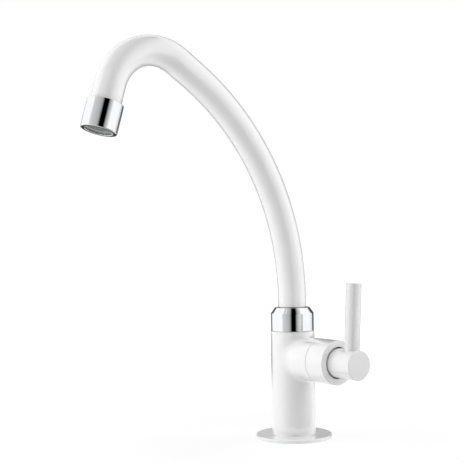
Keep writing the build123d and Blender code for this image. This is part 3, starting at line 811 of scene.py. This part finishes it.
def backnut():
    """Hexagon nut. At each angle the side stands at a / cos(angle off the flat), and the two cones that
    bevel the corners cut it at the height where they are as wide, which gives the curved edges."""
    flat, bore, low, high = 15.0 * MM, pipe_thread_bore, nut_low.z, nut_high.z
    lead, land, step = 0.8 * MM, 0.2 * MM, 0.3 * MM
    turn = full_turn(240)
    side = flat / np.cos(np.mod(turn + pi / 6, pi / 3) - pi / 6)
    face = flat - 0.05 * MM
    sink = np.maximum(side - face, 0) * 0.5
    rows = [(bore, low + lead), (bore + lead, low), (face - step, low), (face, low), (side, low + sink),
            (side, low + sink + land), (side, high - sink - land), (side, high - sink), (face, high),
            (face - step, high), (bore + lead, high), (bore, high - lead)]
    return piece("hex_backnut", np.stack([circles(*row, turn) for row in rows]), sharp=22)


def washer(name, node, edge):
    """Flat ring with soft or stamped edges."""
    low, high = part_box(node)
    return flat_ring(name, shank_passage, high.x, low.z, high.z, edge, 160)


finish(shank(), "threaded_shank", "tap_body", "bare_brass")
finish(backnut(), "fixing_nut", "backnut", "bare_brass")
finish(washer("soft_washer", "rubber_washer", 0.7 * MM), "rubber_washer", "clamp_washers", "black_rubber")
finish(washer("stamped_washer", "clamp_washer", 0.35 * MM), "clamp_washer", "clamp_washers", "zinc_steel")


# Camera

camera_place = (0.58885, -0.49168, 0.15134)
camera_side = atan2(camera_place[1], camera_place[0])


def camera():
    """Camera of the photo: place, three axes and a square frame."""
    lens = bpy.data.cameras.new("photo_camera")
    lens.lens, lens.sensor_width, lens.sensor_height, lens.sensor_fit = 81.81, 36, 36, "HORIZONTAL"
    lens.clip_start, lens.clip_end = 0.01, 50
    right, up = Vector((0.59656251, 0.80240561, -0.01607523)), Vector((0.00798154, 0.01409715, 0.99986877))
    back = right.cross(up).normalized()
    made = bpy.data.objects.new("photo_camera", lens)
    made.matrix_world = Matrix.Translation(camera_place) @ Matrix((right, up, back)).transposed().to_4x4()
    bpy.context.scene.collection.objects.link(made)
    bpy.context.scene.camera = made


camera()


# Studio

def softbox(name, angle, distance, height, side, power):
    """Large soft lamp that faces the tap's middle. The angle is counted from the camera's side, and grows
    towards its right."""
    middle = Vector((0, -0.06, 0.14))
    turn = camera_side + radians(angle)
    lamp = bpy.data.lights.new(name, "AREA")
    lamp.shape, lamp.size, lamp.size_y, lamp.energy = "RECTANGLE", side, side, power
    made = bpy.data.objects.new(name, lamp)
    made.location = (middle.x + distance * cos(turn), middle.y + distance * sin(turn), height)
    made.rotation_euler = (middle - made.location).to_track_quat("-Z", "Y").to_euler()
    made.visible_glossy = False
    made.visible_camera = False
    bpy.context.scene.collection.objects.link(made)


def tent():
    """What reflections see round the tap: a dome and the table under it, whose brightness follows the
    compass angle from the camera's side. The angle is atan2(right, ahead + 0.4 up), less up to 24 degrees
    on the left, so the bands lean together overhead. On the dome a grey wall darkens from the left to a
    black gap in front. A lighter wall rises from it to the right, and both end in white softboxes. Low down
    before the lighter wall runs a thin black line, a painted reflection of the lever rod's shaded side. A
    dark wall stands behind: inside its edge, which leans out overhead and bulges on the left, the light
    falls off, and low down its middle is lighter again. The table is white in a ring close to the tap, dark
    inside it in front, and outside it dark in front, grey on the left and dark again far behind."""
    dome_radius, table_height = 0.72, 0.001
    lift = np.radians(np.concatenate([np.linspace(0, 84, 57), [88, 90]]))[:, None]
    turn = full_turn(288)
    ahead, right = np.cos(lift) * np.cos(turn), np.cos(lift) * np.sin(turn)
    up = np.broadcast_to(np.sin(lift), ahead.shape)
    angle = np.degrees(np.arctan2(right, ahead + 0.4 * up)) - 24 * up * np.clip(-right, 0, 1)

    # Dome: level by compass angle, less a thin painted reflection of the lever rod, and dimmed by the dark
    # wall behind
    angles = (-56, -52, -42, -30, -19, -12, -8, -4, 16, 20, 24, 29, 35, 40, 44, 100, 110, 120, 130)
    levels = (1.09, 0.72, 0.65, 0.58, 0.5, 0.38, 0.19, 0, 0, 0.2, 0.42, 0.55, 0.68, 0.85, 1.1, 1.1, 1.0, 0.9,
              0.8)
    # Thin dark line low down at 52.5 degrees: painted reflection of the lever rod's shaded side
    rod_reflection_line = np.interp(np.abs(angle - 52.5), (1.2, 2.8), (1, 0)) * (up < 0.24)
    wall = np.interp(angle, angles, levels) - rod_reflection_line
    behind = np.degrees(np.arccos(np.clip(-ahead, -1, 1)))
    bulge = np.clip(-right / 0.5, 0, 1) * np.interp(up, (0, 0.38, 0.46, 0.56), (0, 10, 8, 0))
    past_edge = behind - (47 + 3 * np.clip(right / 0.6, -1, 1) + 12 * up + bulge)
    core = np.interp(past_edge, (-30, -12), (1, 0)) * np.interp(up, (0.24, 0.36), (0.34, -0.05))
    wall *= np.interp(past_edge, (-12, -4, 0), (0.1, 0.04, 1)) + core

    # Table: level of its rows inside the white ring, on it and outside it
    reach = np.array([0.028, 0.039, 0.04, 0.054, 0.055, 0.2, 0.4, 0.7])[:, None]
    ring_inner, ring_outer, far, far_behind = 0.0395, 0.0545, 0.3, 130
    compass = angle[0]
    angles, levels = (-56, -46, -4, 8, 54, 75, 110), (1.0, 0.6, 0.1, 0, 0, 0.3, 0.9)
    outside = np.interp(compass, angles, levels)
    outside = outside * np.where((reach > far) & (np.abs(compass) > far_behind), 0.06, 1)
    inside = np.interp(np.abs(compass), (40, 90), (0, 0.9))
    table = np.where(reach < ring_inner, inside, np.where(reach < ring_outer, 1, outside))

    to_camera = ((cos(camera_side), sin(camera_side), 0), (-sin(camera_side), cos(camera_side), 0), (0, 0, 1))
    rings = np.concatenate([circles(reach, 0, turn), dome_radius * np.stack([ahead, right, up], -1)])
    vertices, faces = quads_of(placed(rings, (0, 0, table_height), to_camera), False)
    mesh = bpy.data.meshes.new("tent")
    mesh.from_pydata(vertices.tolist(), [], faces.tolist())
    shade = mesh.attributes.new("shade", "FLOAT", "POINT")
    shade.data.foreach_set("value", np.concatenate([table, wall]).ravel())
    made = bpy.data.objects.new("tent", mesh)
    material, tree, bsdf = shader("tent", (0, 0, 0), metallic=0, roughness=1, Specular_IOR_Level=0.0)
    seen = tree.nodes.new("ShaderNodeAttribute")
    seen.attribute_name = "shade"
    bsdf.inputs["Emission Color"].default_value = (1, 1, 1, 1)
    tree.links.new(seen.outputs["Fac"], bsdf.inputs["Emission Strength"])
    mesh.materials.append(material)
    bpy.context.scene.collection.objects.link(made)
    made.visible_camera = made.visible_diffuse = made.visible_shadow = made.visible_transmission = False
    made.visible_volume_scatter = False


def floor():
    """Pale floor that is lit and takes the tap's shadow. Camera and reflections see it nearly white, and
    wholly white far from the tap, so that it meets the white background without a line."""
    half_side, count = 4, 5
    lit, seen_color = (0.88, 0.88, 0.88), (0.25, 0.25, 0.25)
    across = np.linspace(-half_side, half_side, count)
    points = np.stack([*np.meshgrid(across, across), np.zeros((count, count))], -1)
    index = np.arange(count ** 2).reshape(count, count)
    faces = np.stack([index[:-1, :-1], index[:-1, 1:], index[1:, 1:], index[1:, :-1]], -1).reshape(-1, 4)
    mesh = bpy.data.meshes.new("floor")
    mesh.from_pydata(points.reshape(-1, 3).tolist(), [], faces.tolist())
    made = bpy.data.objects.new("floor", mesh)
    bpy.context.scene.collection.objects.link(made)
    material, tree, bsdf = shader("floor", lit, metallic=0, roughness=0.9, Specular_IOR_Level=0.0)
    bsdf.inputs["Emission Color"].default_value = (1, 1, 1, 1)
    path = tree.nodes.new("ShaderNodeLightPath")
    seen = math_of(tree, "MAXIMUM", path.outputs["Is Camera Ray"], path.outputs["Is Glossy Ray"])
    tint(tree, bsdf, seen, lit, seen_color)
    distance = tree.nodes.new("ShaderNodeVectorMath")
    distance.operation = "LENGTH"
    tree.links.new(place_of(tree), distance.inputs[0])
    whitening = spread(tree, distance.outputs["Value"], 0.76, 1.0, start=0.1, stop=0.5)
    tree.links.new(math_of(tree, "MULTIPLY", seen, whitening), bsdf.inputs["Emission Strength"])
    mesh.materials.append(material)


def surroundings():
    """White all round for the camera and for reflections, and a soft grey light for the rest."""
    world = bpy.data.worlds.new("studio")
    world.use_nodes = True
    bpy.context.scene.world = world
    tree = world.node_tree
    tree.nodes.clear()
    path = tree.nodes.new("ShaderNodeLightPath")
    seen = math_of(tree, "MAXIMUM", path.outputs["Is Camera Ray"], path.outputs["Is Glossy Ray"])
    seen = math_of(tree, "MAXIMUM", seen, path.outputs["Is Transmission Ray"])
    mix = tree.nodes.new("ShaderNodeMixShader")
    tree.links.new(seen, mix.inputs["Fac"])
    for socket, strength in ((1, 0.5), (2, 1.0)):
        light = tree.nodes.new("ShaderNodeBackground")
        light.inputs["Color"].default_value = (1, 1, 1, 1)
        light.inputs["Strength"].default_value = strength
        tree.links.new(light.outputs[0], mix.inputs[socket])
    out = tree.nodes.new("ShaderNodeOutputWorld")
    tree.links.new(mix.outputs[0], out.inputs["Surface"])


floor()
surroundings()
tent()
softbox("left_softbox", angle=-90, distance=1.0, height=0.28, side=1.0, power=8.8)
softbox("right_softbox", angle=110, distance=1.0, height=0.28, side=1.0, power=8.2)
softbox("high_softbox", angle=20, distance=0.6, height=1.0, side=0.8, power=2.4)

bpy.context.scene.view_settings.view_transform = "Standard"
